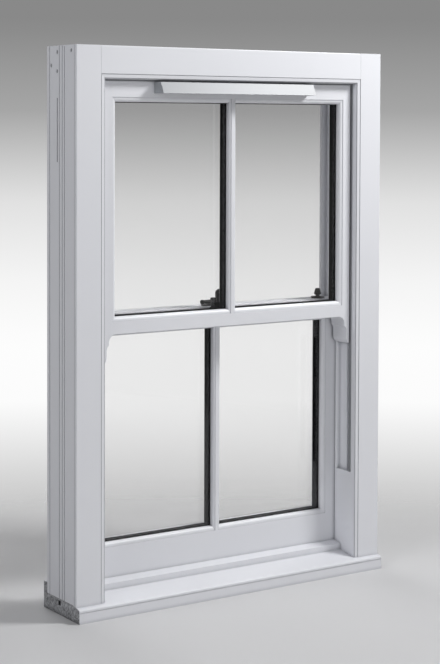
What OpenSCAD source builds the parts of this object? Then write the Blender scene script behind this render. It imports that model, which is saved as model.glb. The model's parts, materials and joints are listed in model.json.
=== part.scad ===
// Double-hung box sash window: painted timber frame, two sliding sashes with sealed glass units.
// Millimetres. X runs along the width (0 at the centre), the outside face looks along -Y
// (0 at the face of the outer linings), Z is up (0 at the underside of the sill).

/* [Frame] */
// Width over the frame
frame_w = 900; // [800:5:1300]
// Height from the underside of the sill to the top of the frame
frame_h = 1343; // [1200:5:1700]
// Thickness of the outer linings
lining_t = 18; // [14:1:24]
// Flat face of an outer lining, from the outer edge to its quirk
lining_face_w = 66; // [60:1:90]
// Width of the moulded edge of an outer lining
lining_edge_w = 12; // [11:1:20]
// How far the outer linings cover the sash channel, at the least
lining_lap = 10.5; // [8:0.5:14]
// Radius of the outer linings' outer corner
lining_corner_r = 2.5; // [1:0.5:4]
// Distance from the outer edge of the frame to the floor of the sash channel
channel_inset = 67.5; // [62:0.5:95]
// Thickness of the pulley stiles
jamb_t = 28; // [24:1:34]
// Thickness of the boards that close the backs of the boxes
back_t = 12; // [9:1:16]
// Thickness of the inner linings
inner_lining_t = 17; // [12:1:20]
// Thickness of the parting beads
parting_bead_t = 8; // [6:1:10]
// Depth of the groove that holds a parting bead
parting_groove_d = 6; // [4:1:8]
// Thickness of the staff beads, across the frame's depth
staff_bead_t = 15; // [12:1:20]
// How far the staff beads stand in front of the channel floor
staff_bead_w = 14.5; // [12:0.5:20]

/* [Sill] */
// How far the sill's nose stands in front of the outer linings
sill_nose_d = 15; // [8:1:40]
// Height of the nose
sill_nose_h = 33; // [26:1:45]
// Height of the weathered top where the step starts
sill_slope_h = 46; // [40:1:56]
// Height of the weather step
sill_step_h = 15; // [8:1:20]
// Height of the flat that the lower sash closes on
sill_seat_h = 64; // [62:1:80]

/* [Sashes] */
// Thickness of both sashes
sash_t = 56; // [50:1:64]
// Width of the stiles, from the outer edge to the glass line
stile_w = 49.5; // [45:0.5:70]
// Height of the upper sash's top rail
top_rail_h = 62; // [58:1:90]
// Height of the upper sash's meeting rail
meeting_rail_h = 40.5; // [36:0.5:56]
// Height of the lower sash's meeting rail
lower_meeting_rail_h = 56; // [40:0.5:64]
// Height of the lower sash's bottom rail
bottom_rail_h = 87; // [70:1:120]
// Height of the lower sash
lower_sash_h = 642; // [520:1:760]
// How far the upper meeting rail's top lies under the lower one's
meeting_drop = 1.5; // [0:0.5:3]
// Width of the glazing bars between the glass lines
bar_w = 20; // [20:1:40]
// Width of the flat nose of a glazing bar
bar_nose_w = 9; // [5:1:9]
// Height of the horns under the upper meeting rail
horn_h = 72; // [60:1:90]
// Radius of the hollow at the top of a horn
horn_cove_r = 20; // [14:1:22]
// Radius of the hollow under it
horn_hollow_r = 18; // [12:1:20]
// How far the lower hollow's centre lies under the meeting rail
horn_hollow_drop = 38; // [32:1:40]
// How far a horn's neck stands in from the glass line
horn_neck_in = 26; // [22:1:28]
// Radius of the round at the foot of a horn
horn_round_r = 16; // [10:1:18]
// How far each meeting rail's lip reaches towards the other sash
meeting_lip = 8; // [4:0.5:8.5]
// Height of the meeting rails' lips
meeting_lip_h = 10; // [6:1:14]

/* [Moulding and glazing] */
// Width of the moulding beside the glass
mould_w = 11; // [10:1:16]
// Depth from a sash's face to the glazing seal
mould_d = 15; // [12:1:20]
// Radius of the moulding's round
ovolo_r = 9; // [5:1:10]
// Depth of the quirk behind the face
quirk_d = 1.5; // [1:0.5:3]
// Thickness of a pane
pane_t = 4; // [3:1:6]
// Space between the two panes of a sealed unit
cavity = 20; // [12:1:20]
// Thickness of a glazing seal
gasket_t = 1; // [0.8:0.1:2]
// How far a sealed unit reaches behind the glass line
edge_cover = 7; // [6:0.5:9]
// Clearance around a sealed unit in its rebate
unit_gap = 3; // [2:0.5:5]
// How far the spacer shows past the glass line
spacer_show = 1.5; // [0:0.5:3]
// How far a glazing seal shows past the glass line
gasket_show = 1; // [0:0.5:2]
// How far the glazing beads splay back from the glass, at the sides and the top
bead_splay = 6; // [3:0.5:6]

/* [Clearances] */
// Between a sash and the linings or staff beads
face_gap = 2; // [1.5:0.5:4]
// Between a sash and the parting beads, and between its edge and the channel
slide_gap = 1.5; // [1:0.5:3]
// Between pieces that slide or turn close together
running_gap = 0.4; // [0.3:0.1:0.8]
// Between a turned pin and its bore
pin_gap = 0.1; // [0.05:0.05:0.2]

/* [Seals] */
// Width of a pile seal
pile_w = 10; // [4:0.5:11]
// Depth of the rebate in the upper sash that the pile seals run in
pile_rebate_d = 6; // [5:1:12]
// Width of that rebate on the stiles
pile_rebate_w = 15.5; // [10:0.5:16]
// Height of that rebate on the top rail
pile_rebate_h = 13; // [10:0.5:14]

/* [Balances] */
// Diameter of a balance tube
tube_d = 14; // [12:1:16]
// Bore of a balance tube
tube_bore = 11; // [8:1:12]
// Clearance between a balance tube and the sash's bracket at the top of its travel
tube_gap = 20; // [10:1:40]
// Diameter of a balance rod
rod_d = 5; // [4:1:6]
// Width of the groove that a balance runs in
groove_w = 18; // [17:1:24]
// Length of the bracket that ties a rod to its sash
foot_h = 34; // [20:1:50]

/* [Travel] */
// How far the lower sash rises
lower_travel = 500; // [300:10:520]
// Height of the travel stops' tops above the sill's underside
stop_top = 257; // [120:1:400]

/* [Fastener] */
// Length of the fastener's lever from its pivot
lever_l = 40; // [30:1:50]
// Diameter of the fastener's hub
hub_d = 17; // [14:1:22]
// Diameter of the scroll
scroll_d = 24; // [18:1:24]
// Diameter of the pivot pin
pivot_d = 7; // [5:0.5:9]
// Length of the fastener's base plate
base_l = 72; // [44:1:80]
// Thickness of the fastener's base plate
base_t = 3; // [2:0.5:5]
// Sideways place of the pivot
pivot_x = 1; // [-20:1:20]
// Distance of the pivot from the lower sash's face
pivot_in = 22; // [21:1:26]

/* [Acorn stops] */
// Distance of an acorn stop from the centre
acorn_x = 328; // [250:1:330]
// Diameter of the acorn
acorn_d = 18.5; // [14:0.5:24]
// Height of the acorn above its rose
acorn_h = 20; // [14:1:28]
// Diameter of the rose
rose_d = 36; // [28:1:38]
// Height of the rose's middle
rose_t = 5.5; // [4:0.5:8]
// Height of the rose's rim
rose_rim_h = 4; // [3:0.5:6]
// Diameter of the screwed stem
stem_d = 8; // [6:0.5:10]
// Length of the stem in the rail
stem_l = 24; // [16:1:30]

/* [Sash lifts] */
// Distance of a sash lift from the centre
lift_x = 190; // [120:5:260]
// Width of a sash lift
lift_w = 44; // [36:1:60]
// Height of a sash lift's plate
lift_h = 42; // [36:1:60]
// How far a sash lift stands out
lift_out = 24; // [20:1:32]
// Thickness of a sash lift
lift_t = 3.5; // [3:0.5:5]

/* [Trickle vent] */
// Length of the canopy at its back
canopy_l = 455; // [430:1:520]
// Height of the canopy
canopy_h = 27; // [24:1:34]
// How far the canopy stands out at its foot
canopy_out = 40; // [30:1:50]
// How far the canopy stands out at its top
canopy_top_out = 27; // [18:1:29]
// How far the canopy's ends slope in
canopy_end_slope = 2; // [0:1:30]
// Wall of the canopy
canopy_t = 2.5; // [1.5:0.5:4]
// Distance of the canopy's top under the top of the sash
canopy_drop = 14; // [14:1:20]
// Width of one slot of the vent's grille
vent_slot_w = 14; // [10:1:16]
// Spacing of the slots, twice the slider's travel
vent_pitch = 50; // [44:2:56]
// Number of slots
vent_slots = 8; // [4:2:8]
// Height of the air way through the top rail
vent_way_h = 10; // [6:1:12]
// Thickness of the grille and of the slider
vent_plate_t = 2; // [1.5:0.5:3]

/* [Screws] */
// Diameter of the frame screws' shanks
screw_d = 4.5; // [4:0.5:6]
// Length of the frame screws
screw_l = 60; // [40:5:70]
// Diameter of the frame screws' heads
screw_head_d = 9; // [8:0.5:11]

/* [Hidden] */
$fn = 48;

PAINT = "#eeeeee";
BLACK = "#18181a";
PILE = "#55575a";
GLASS = [0.72, 0.78, 0.8, 0.45];
BRONZE = "#3a3029";
STEEL = "#9a9da0";

// how far a cutting shape runs past what it cuts
over = 1;

// planes across the depth
upper_front = lining_t + face_gap;
upper_back = upper_front + sash_t;
parting_front = upper_back + slide_gap;
parting_back = parting_front + parting_bead_t;
lower_front = parting_back + slide_gap;
lower_back = lower_front + sash_t;
staff_front = lower_back + face_gap;
frame_back = staff_front + staff_bead_t;
box_back_y = frame_back - inner_lining_t;

// planes across the width, on the right-hand side
half_w = frame_w / 2;
channel_x = half_w - channel_inset;
lining_quirk_x = half_w - lining_face_w;
lining_edge_x = min(lining_quirk_x - lining_edge_w, channel_x - lining_lap);
jamb_back_x = channel_x + jamb_t;
box_x = half_w - back_t;
sash_half = channel_x - slide_gap;
sight_x = sash_half - stile_w;
quirk_x = sight_x + mould_w;
bar_sight_x = bar_w / 2;
rib_x = bar_sight_x - edge_cover - running_gap;
unit_in_x = bar_sight_x - edge_cover;
bead_inner_x = channel_x - staff_bead_w;

// levels
lining_quirk_z = frame_h - lining_face_w;
lining_edge_z = lining_quirk_z - (lining_quirk_x - lining_edge_x);
head_z = frame_h - channel_inset;
upper_top = head_z - slide_gap;
lower_bottom = sill_seat_h;
lower_top = lower_bottom + lower_sash_h;
meeting_top = lower_top - meeting_drop;

// a sash is [underside, lower glass line, upper glass line, top]
UPPER = [meeting_top - meeting_rail_h, meeting_top, upper_top - top_rail_h, upper_top];
LOWER = [lower_bottom, lower_bottom + bottom_rail_h, lower_top - lower_meeting_rail_h, lower_top];

// depths inside a sash, from its face
unit_front = mould_d + gasket_t;
unit_t = 2 * pane_t + cavity;
unit_back = unit_front + unit_t;
bead_front = unit_back + gasket_t;
pocket_cover = edge_cover + unit_gap;

// quirks of the outer linings
lining_quirk_w = 1.5;
lining_quirk_d = 2.2;

// sill outline
sill_nose_r = 4;
sill_slope_start = sill_nose_r - sill_nose_d;
sill_slope_end = 58;
sill_lip_top = sill_slope_h + sill_step_h;
sill_lip_rise = 6;
sill_lip_back_h = sill_lip_top + sill_lip_rise;
sill_lip_back = lower_front - running_gap;

// the boxes' backs run down past the sill's top as far as its slope at the linings' back
box_foot_z = sill_nose_h + (sill_slope_h - sill_nose_h)
    * (lining_t - sill_slope_start) / (sill_slope_end - sill_slope_start);
// grooves and slot in the boxes' backs, by their distance from the linings' face
box_lines = [57, 68, 82, 130];
box_slot_y = 92;
// mortise in each end of the sill
sill_mortise = [15, 12, 12];
sill_mortise_y = 82;
sill_mortise_z = 22;
// screws through the boxes' backs, by distance from the linings' face and from the top
screw_places = [[25, 13], [93, 15], [123, 46], [93, 60]];

// balances
tube_x = channel_x + slide_gap + running_gap + tube_d / 2 + 1;
groove_d = tube_x + tube_d / 2 + running_gap / 4 - channel_x;
// timber left between the pile rebate and the groove of the upper balance
groove_land = 3;
upper_tube_y = upper_front + pile_rebate_d + groove_land + groove_w / 2;
lower_tube_y = lower_front + sash_t / 2;
tube_top = head_z - 12;
foot_t = 6;
foot_gap = 0.5;
horn_foot = UPPER[0] - horn_h;
upper_foot_z = horn_foot + 12;
lower_foot_z = lower_bottom + 34;
// a rod stays this far inside its tube at the end of the travel
rod_engaged = 40;
upper_travel = horn_foot - stop_top - 1;
upper_tube_foot = upper_foot_z + foot_h + tube_gap;
lower_tube_foot = lower_foot_z + foot_h + lower_travel + tube_gap;

// fastener
rail_top = lower_top;
pivot_y = lower_front + pivot_in;
hub_bottom = rail_top + base_t + running_gap;
hub_h = 11;
tongue_l = 28;
tongue_w = 8;
tongue_h = 4;
lever_h = 9;
keep_l = 24;
keep_h = 14;
keep_t = 8;
scroll_lift = 12;
// the scroll's rim bites this far into the hub
scroll_bite = 1;

// acorn stops
// profile of an acorn as shares of its radius and its height: waist, cup, rim and flat crown
acorn_profile = [
    [0.55, 0], [0.5, 0.06], [0.62, 0.12], [0.94, 0.2], [1, 0.27], [1, 0.36], [0.93, 0.4],
    [0.92, 0.5], [0.85, 0.64], [0.74, 0.78], [0.68, 0.9], [0.6, 0.97], [0.45, 1]
];
rose_boss_d = 15;
rose_rim_w = 2;
rose_floor_t = 2;
rose_bore_d = stem_d + 2 * pin_gap;

// trickle vent, levels and depths
canopy_top = upper_top - canopy_drop;
canopy_foot = canopy_top - canopy_h;
vent_mid_z = canopy_foot + canopy_h / 2 - 1;
vent_span = vent_pitch * vent_slots;
vent_travel = vent_pitch / 2;
vent_plate_h = 20;
recess_d = 6;
grille_y = upper_back - 1.4 - vent_plate_t;
slider_y = grille_y - running_gap / 2 - vent_plate_t;
recess_half = vent_span / 2 + 4;
way_half = vent_span / 2 - (vent_pitch - vent_slot_w) / 2;
thumb_w = 3;
thumb_x = -thumb_w - 9;
thumb_h = 7;
grille_flange_t = 1.5;

// ---------------------------------------------------------------- general shapes

// a straight piece of the children's (y, z) outline, from x0 to x1
module run_x(x0, x1) {
    translate([x0, 0, 0]) rotate([90, 0, 90]) linear_extrude(x1 - x0) children();
}

// a plate of the children's (x, z) outline, from y0 to y1
module run_y(y0, y1) {
    translate([0, y1, 0]) rotate([90, 0, 0]) linear_extrude(y1 - y0) children();
}

// a straight piece of the children's (x, y) outline, from z0 to z1
module run_z(z0, z1) {
    translate([0, 0, z0]) linear_extrude(z1 - z0) children();
}

// a block between two corners
module block(low, high) {
    translate(low) cube(high - low);
}

// an upright round bar or hole
module rod_z(x, y, z0, z1, d) {
    translate([x, y, z0]) cylinder(d = d, h = z1 - z0);
}

// a rectangle between two corners
module rect(low, high) {
    translate(low) square(high - low);
}

// a rectangular ring, from the inner rectangle to the outer
module ring(low, high, inset) {
    difference() {
        rect(low, high);
        rect(low + [inset, inset], high - [inset, inset]);
    }
}

// swaps the two axes of an outline
module swap() {
    mirror([1, -1, 0]) children();
}

module left() {
    mirror([1, 0, 0]) children();
}

// what is cut from a square edge to leave the quirk and the round: the edge is at u = 0
// and the face at v = 0
module ovolo_cut(round_r, width) {
    rect([-over, -over], [width, quirk_d]);
    difference() {
        rect([-over, 0], [round_r, quirk_d + round_r]);
        translate([round_r, quirk_d + round_r]) circle(round_r);
    }
}

// ---------------------------------------------------------------- frame

// outline of the sill, (y, z): nose, weathered slope, step, lip and flat seat
module sill_outline() {
    difference() {
        union() {
            polygon([
                [-sill_nose_d, 0], [-sill_nose_d, sill_nose_h - sill_nose_r],
                [sill_slope_start, sill_nose_h], [sill_slope_end, sill_slope_h],
                [sill_slope_end, sill_lip_top], [sill_lip_back, sill_lip_back_h],
                [sill_lip_back, sill_seat_h], [frame_back, sill_seat_h], [frame_back, 0]
            ]);
            translate([sill_slope_start, sill_nose_h - sill_nose_r]) circle(sill_nose_r);
        }
        // drip groove under the nose and the fine line on its face
        rect([4 - sill_nose_d, -over], [8 - sill_nose_d, 4]);
        rect([-sill_nose_d - over, 24.5], [1.2 - sill_nose_d, 26]);
    }
}

module sill_bar(x0, x1) {
    run_x(x0, x1) sill_outline();
}

module sill() {
    color(PAINT) difference() {
        sill_bar(-half_w, half_w);
        for (side = [0, 1]) mirror([side, 0, 0]) {
            // rebate for the box's back
            block([box_x, lining_t, box_foot_z], [half_w + over, box_back_y, frame_h]);
            translate([half_w - sill_mortise[0], sill_mortise_y - sill_mortise[1] / 2, sill_mortise_z])
                cube(sill_mortise + [over, 0, 0]);
        }
    }
}

// takes the sill's shape off the foot of an upright
module on_sill() {
    difference() {
        children();
        sill_bar(-half_w - over, half_w + over);
    }
}

// section of an outer lining: u from the outer edge to the moulded edge, v from the face
module lining_outline() {
    edge_u = half_w - lining_edge_x;
    quirk_end = lining_face_w + lining_quirk_w;
    bevel_end = edge_u - 2.5;
    bevel_d = 1.6;
    difference() {
        polygon([
            [0, 0], [lining_face_w, 0], [lining_face_w, lining_quirk_d],
            [quirk_end, lining_quirk_d], [quirk_end, bevel_d - 1], [bevel_end, bevel_d],
            [bevel_end, bevel_d + lining_quirk_d], [bevel_end + lining_quirk_w, bevel_d + lining_quirk_d],
            [bevel_end + lining_quirk_w, bevel_d + 1], [edge_u, bevel_d + 2],
            [edge_u, lining_t], [0, lining_t]
        ]);
        // rounded corner
        difference() {
            rect([-over, -over], [lining_corner_r, lining_corner_r]);
            translate([lining_corner_r, lining_corner_r]) circle(lining_corner_r);
        }
        // fine line along the outer edge
        rect([-over, 8], [1.2, 9.5]);
    }
}

module outer_lining_side() {
    on_sill() intersection() {
        run_z(0, frame_h) translate([half_w, 0]) mirror([1, 0]) lining_outline();
        run_y(-over, lining_t + over) polygon([
            [half_w, 0], [half_w, frame_h], [lining_quirk_x, frame_h],
            [lining_quirk_x, lining_quirk_z], [lining_edge_x, lining_edge_z], [lining_edge_x, 0]
        ]);
    }
}

module outer_lining_left() {
    color(PAINT) left() outer_lining_side();
}

module outer_lining_right() {
    color(PAINT) outer_lining_side();
}

module outer_lining_head() {
    joint_x = lining_quirk_x - 0.3;
    color(PAINT) intersection() {
        run_x(-lining_quirk_x, lining_quirk_x)
            translate([0, frame_h]) mirror([0, 1]) swap() lining_outline();
        run_y(-over, lining_t + over) polygon([
            [-joint_x, frame_h], [joint_x, frame_h], [joint_x, lining_quirk_z],
            [lining_edge_x, lining_edge_z], [-lining_edge_x, lining_edge_z],
            [-joint_x, lining_quirk_z]
        ]);
    }
}

// pulley stile: a board with the parting-bead groove and the two balance grooves
module jamb_side() {
    on_sill() run_z(0, head_z) difference() {
        rect([channel_x, lining_t], [jamb_back_x, box_back_y]);
        rect([channel_x - over, parting_front], [channel_x + parting_groove_d, parting_back]);
        for (y = [upper_tube_y, lower_tube_y])
            rect([channel_x - over, y - groove_w / 2], [channel_x + groove_d, y + groove_w / 2]);
    }
}

module jamb_left() {
    color(PAINT) left() jamb_side();
}

module jamb_right() {
    color(PAINT) jamb_side();
}

module screw_hole_places() {
    for (place = screw_places)
        translate([half_w, place[0], frame_h - place[1]]) rotate([0, -90, 0]) children();
}

module head() {
    color(PAINT) difference() {
        run_x(-box_x, box_x) difference() {
            rect([lining_t, head_z], [box_back_y, frame_h]);
            rect([parting_front, head_z - over], [parting_back, head_z + parting_groove_d]);
        }
        for (side = [0, 1]) mirror([side, 0, 0])
            screw_hole_places() cylinder(d = screw_d + 2 * pin_gap, h = screw_l + 2);
    }
}

// board that closes the back of a box, with fine grooves and one long slot
module box_back_side() {
    line_w = 2.5;
    line_d = 2;
    slot_w = 4;
    slot_z = [frame_h - 273, frame_h - 123];
    difference() {
        run_z(box_foot_z, frame_h) difference() {
            rect([box_x, lining_t], [half_w, box_back_y]);
            for (y = box_lines)
                rect([half_w - line_d, y - line_w / 2], [half_w + over, y + line_w / 2]);
        }
        block([box_x - over, box_slot_y - slot_w / 2, slot_z[0]],
            [half_w + over, box_slot_y + slot_w / 2, slot_z[1]]);
        screw_hole_places() {
            cylinder(d = screw_d + 2 * pin_gap, h = back_t + over);
            cylinder(d1 = screw_head_d + 1, d2 = screw_d + 2 * pin_gap, h = 4);
        }
    }
}

module box_back_left() {
    color(PAINT) left() box_back_side();
}

module box_back_right() {
    color(PAINT) box_back_side();
}

module inner_lining_side() {
    block([channel_x, box_back_y, sill_seat_h], [box_x, frame_back, frame_h - back_t]);
}

module inner_lining_left() {
    color(PAINT) left() inner_lining_side();
}

module inner_lining_right() {
    color(PAINT) inner_lining_side();
}

module inner_lining_head() {
    color(PAINT) block([-channel_x, box_back_y, head_z], [channel_x, frame_back, frame_h - back_t]);
}

// a parting bead reaches as far into the opening as the outer lining's edge
module parting_bead_outline() {
    nose_r = 2;
    depth = channel_x - lining_edge_x + parting_groove_d;
    difference() {
        rect([0, 0], [depth, parting_bead_t]);
        for (v = [0, parting_bead_t])
            translate([0, v]) rotate(45) square(nose_r, center = true);
    }
}

module parting_bead_side() {
    on_sill() run_z(0, head_z) translate([lining_edge_x, parting_front]) parting_bead_outline();
}

module parting_bead_left() {
    color(PAINT) left() parting_bead_side();
}

module parting_bead_right() {
    color(PAINT) parting_bead_side();
}

module parting_bead_head() {
    color(PAINT) run_x(-lining_edge_x, lining_edge_x) translate([parting_front, 0])
        swap() translate([head_z - (channel_x - lining_edge_x), 0]) parting_bead_outline();
}

// section of a staff bead: u from the channel floor into the opening, v from the sash side
module staff_bead_outline() {
    round_r = 8;
    difference() {
        rect([0, 0], [staff_bead_w, staff_bead_t]);
        difference() {
            rect([staff_bead_w - round_r, staff_bead_t - round_r],
                [staff_bead_w + over, staff_bead_t + over]);
            translate([staff_bead_w - round_r, staff_bead_t - round_r]) circle(round_r);
        }
    }
}

module staff_bead_side() {
    intersection() {
        run_z(sill_seat_h, head_z)
            translate([channel_x, staff_front]) mirror([1, 0]) staff_bead_outline();
        run_y(staff_front - over, frame_back + over) polygon([
            [channel_x, sill_seat_h], [channel_x, head_z],
            [bead_inner_x, head_z - staff_bead_w], [bead_inner_x, sill_seat_h]
        ]);
    }
}

module staff_bead_left() {
    color(PAINT) left() staff_bead_side();
}

module staff_bead_right() {
    color(PAINT) staff_bead_side();
}

module staff_bead_head() {
    color(PAINT) intersection() {
        run_x(-channel_x, channel_x)
            translate([staff_front, head_z]) mirror([0, 1]) swap() staff_bead_outline();
        run_y(staff_front - over, frame_back + over) polygon([
            [-channel_x, head_z], [channel_x, head_z],
            [bead_inner_x, head_z - staff_bead_w], [-bead_inner_x, head_z - staff_bead_w]
        ]);
    }
}

// block in the foot of the outer channel, where the horns of the lowered upper sash land
module travel_stop_side() {
    on_sill() block([lining_edge_x, lining_t, 0], [channel_x, parting_front, stop_top]);
}

module travel_stop_left() {
    color(PAINT) left() travel_stop_side();
}

module travel_stop_right() {
    color(PAINT) travel_stop_side();
}

// pile strips between the outer linings and the upper sash
module frame_seals() {
    seal_out = sash_half - 1;
    seal_back = upper_front + pile_rebate_d - running_gap;
    seal_top = upper_top - 1;
    color(PILE) {
        for (side = [0, 1]) mirror([side, 0, 0])
            block([seal_out - pile_w, lining_t, stop_top + running_gap],
                [seal_out, seal_back, seal_top - pile_w - running_gap]);
        block([-seal_out, lining_t, seal_top - pile_w], [seal_out, seal_back, seal_top]);
    }
}

// closed at the top, where it is fixed in its groove
module balance_tubes(y, foot) {
    cap_h = 8;
    for (side = [0, 1]) mirror([side, 0, 0]) difference() {
        rod_z(tube_x, y, foot, tube_top, tube_d);
        rod_z(tube_x, y, foot - over, tube_top - cap_h, tube_bore);
    }
}

module upper_balance_tubes() {
    color("white") balance_tubes(upper_tube_y, upper_tube_foot);
}

module lower_balance_tubes() {
    color("white") balance_tubes(lower_tube_y, lower_tube_foot);
}

module frame_screws() {
    head_h = 3.6;
    color(STEEL) for (side = [0, 1]) mirror([side, 0, 0]) screw_hole_places()
        translate([0, 0, 1]) {
            cylinder(d1 = screw_head_d - 1.4, d2 = screw_d, h = head_h - 1);
            cylinder(d = screw_d, h = screw_l);
        }
}

// ---------------------------------------------------------------- sashes

// the spaces that hold the two sealed units of a sash
module pockets(s) {
    for (side = [0, 1]) mirror([side, 0, 0])
        block([rib_x, mould_d, s[1] - pocket_cover],
            [sight_x + pocket_cover, sash_t + over, s[2] + pocket_cover]);
}

// right-hand stile between the levels of a sash, mitred where the mouldings meet
module stile(s) {
    difference() {
        intersection() {
            run_z(s[0], s[3]) difference() {
                rect([sight_x, 0], [sash_half, sash_t]);
                translate([sight_x, 0]) ovolo_cut(ovolo_r, mould_w);
            }
            run_y(-over, sash_t + over) polygon([
                [sash_half, s[0]], [sash_half, s[3]], [quirk_x, s[3]],
                [quirk_x, s[2] + mould_w], [sight_x, s[2]], [sight_x, s[1]],
                [quirk_x, s[1] - mould_w], [quirk_x, s[0]]
            ]);
        }
        pockets(s);
    }
}

// rail above the glass
module rail_over(s) {
    difference() {
        intersection() {
            run_x(-quirk_x, quirk_x) difference() {
                rect([0, s[2]], [sash_t, s[3]]);
                translate([0, s[2]]) swap() ovolo_cut(ovolo_r, mould_w);
            }
            run_y(-over, sash_t + over) polygon([
                [-quirk_x, s[3]], [quirk_x, s[3]], [quirk_x, s[2] + mould_w],
                [sight_x, s[2]], [-sight_x, s[2]], [-quirk_x, s[2] + mould_w]
            ]);
        }
        pockets(s);
    }
}

// rail under the glass
module rail_under(s) {
    difference() {
        intersection() {
            run_x(-quirk_x, quirk_x) difference() {
                rect([0, s[0]], [sash_t, s[1]]);
                translate([0, s[1]]) mirror([0, 1]) swap() ovolo_cut(ovolo_r, mould_w);
            }
            run_y(-over, sash_t + over) polygon([
                [-quirk_x, s[0]], [quirk_x, s[0]], [quirk_x, s[1] - mould_w],
                [sight_x, s[1]], [-sight_x, s[1]], [-quirk_x, s[1] - mould_w]
            ]);
        }
        pockets(s);
    }
}

// upright glazing bar, scribed over the rails' mouldings
module bar(s) {
    bar_mould = (bar_w - bar_nose_w) / 2;
    difference() {
        run_z(s[1] - mould_w, s[2] + mould_w) difference() {
            rect([-bar_sight_x, 0], [bar_sight_x, sash_t]);
            for (side = [0, 1]) mirror([side, 0]) translate([-bar_sight_x, 0])
                ovolo_cut(bar_mould - 1, bar_mould);
        }
        pockets(s);
        rail_over(s);
        rail_under(s);
    }
}

// one pane's rectangle of the right-hand unit: corners in (x, z)
function unit_low(s) = [unit_in_x, s[1] - edge_cover];
function unit_high(s) = [sight_x + edge_cover, s[2] + edge_cover];

module glass(s) {
    color(GLASS) for (y = [unit_front, unit_back - pane_t])
        run_y(y, y + pane_t) rect(unit_low(s), unit_high(s));
}

module spacer(s) {
    color(BLACK) run_y(unit_front + pane_t, unit_back - pane_t)
        ring(unit_low(s), unit_high(s), edge_cover + spacer_show);
}

module gaskets(s) {
    color(BLACK) for (side = [0, 1]) mirror([side, 0, 0]) for (y = [mould_d, unit_back])
        run_y(y, y + gasket_t) ring(unit_low(s), unit_high(s), edge_cover + gasket_show);
}

// four mitred beads around the back of each unit
module beads(s) {
    inner_low = [bar_sight_x, s[1]];
    inner_high = [sight_x, s[2]];
    outer_low = [rib_x, s[1] - pocket_cover];
    outer_high = [sight_x + pocket_cover, s[2] + pocket_cover];
    depth = sash_t - bead_front;
    mitre_gap = 0.2;
    inner = [inner_low, [inner_high[0], inner_low[1]], inner_high, [inner_low[0], inner_high[1]]];
    outer = [outer_low, [outer_high[0], outer_low[1]], outer_high, [outer_low[0], outer_high[1]]];
    color(PAINT) for (side = [0, 1]) mirror([side, 0, 0]) for (i = [0 : 3]) {
        j = (i + 1) % 4;
        length = norm(inner[j] - inner[i]);
        along = (inner[j] - inner[i]) / length * mitre_gap / 2;
        // the bead under the glass stays square
        splay = i == 0 ? 0 : bead_splay;
        difference() {
            run_y(bead_front, sash_t)
                polygon([inner[i] + along, outer[i] + along, outer[j] - along, inner[j] - along]);
            translate([inner[i][0], bead_front, inner[i][1]]) rotate([0, -90 * i, 0])
                rotate([-atan(splay / depth), 0, 0])
                    block([-splay - over, 0, 0], [length + splay + over, 2 * depth, bead_splay + over]);
        }
    }
}

// rod and the bracket that ties it to the sash's edge; sash_z is the bracket's foot
module balance_rods(y, sash_z, rod_top) {
    color(STEEL) for (side = [0, 1]) mirror([side, 0, 0]) {
        block([sash_half, y - 7, sash_z], [channel_x - foot_gap, y + 7, sash_z + foot_h]);
        block([sash_half, y - 7, sash_z], [tube_x + rod_d / 2 + 1, y + 7, sash_z + foot_t]);
        rod_z(tube_x, y, sash_z + foot_t - over, rod_top, rod_d);
    }
}

// ---------------------------------------------------------------- upper sash

module at_upper() {
    translate([0, upper_front, 0]) children();
}

// the rebate along the front of the sash's outer edges, for the pile strips
module pile_rebates() {
    for (side = [0, 1]) mirror([side, 0, 0])
        block([sash_half - pile_rebate_w, -over, horn_foot - over],
            [sash_half + over, pile_rebate_d, upper_top + over]);
    block([-sash_half, -over, upper_top - pile_rebate_h],
        [sash_half, pile_rebate_d, upper_top + over]);
}

// outline of a horn in (x, z): two hollows that meet in a nib, a straight neck and a round
module horn_outline() {
    neck_x = sight_x + horn_neck_in;
    hollow_z = UPPER[0] - horn_hollow_drop;
    round_x = neck_x + horn_round_r;
    round_z = horn_foot + horn_round_r;
    difference() {
        rect([sight_x, horn_foot], [sash_half, UPPER[0]]);
        translate([sight_x, UPPER[0] - horn_cove_r]) circle(horn_cove_r);
        translate([neck_x - horn_hollow_r, hollow_z]) circle(horn_hollow_r);
        rect([sight_x - over, horn_foot - over], [neck_x, hollow_z]);
        difference() {
            rect([neck_x - over, horn_foot - over], [round_x, round_z]);
            translate([round_x, round_z]) circle(horn_round_r);
        }
    }
}

module upper_stile() {
    difference() {
        union() {
            at_upper() stile(UPPER);
            run_y(upper_front, upper_back) horn_outline();
        }
        at_upper() pile_rebates();
    }
}

module upper_stile_left() {
    color(PAINT) left() upper_stile();
}

module upper_stile_right() {
    color(PAINT) upper_stile();
}

// top rail with the air way of the trickle vent and the recess for its grille
module upper_top_rail() {
    color(PAINT) difference() {
        at_upper() rail_over(UPPER);
        at_upper() pile_rebates();
        block([-way_half, upper_front - over, vent_mid_z - vent_way_h / 2],
            [way_half, upper_back, vent_mid_z + vent_way_h / 2]);
        block([-recess_half, upper_back - recess_d, vent_mid_z - vent_plate_h / 2],
            [recess_half, upper_back + over, vent_mid_z + vent_plate_h / 2]);
    }
}

module upper_meeting_rail() {
    color(PAINT) {
        at_upper() rail_under(UPPER);
        block([-quirk_x, upper_back, UPPER[0]],
            [quirk_x, upper_back + meeting_lip, UPPER[0] + meeting_lip_h]);
    }
}

module upper_bar() {
    color(PAINT) at_upper() bar(UPPER);
}

module upper_glass_left() {
    left() at_upper() glass(UPPER);
}

module upper_glass_right() {
    at_upper() glass(UPPER);
}

module upper_spacer_left() {
    left() at_upper() spacer(UPPER);
}

module upper_spacer_right() {
    at_upper() spacer(UPPER);
}

module upper_gaskets() {
    at_upper() gaskets(UPPER);
}

module upper_beads() {
    at_upper() beads(UPPER);
}

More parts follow.
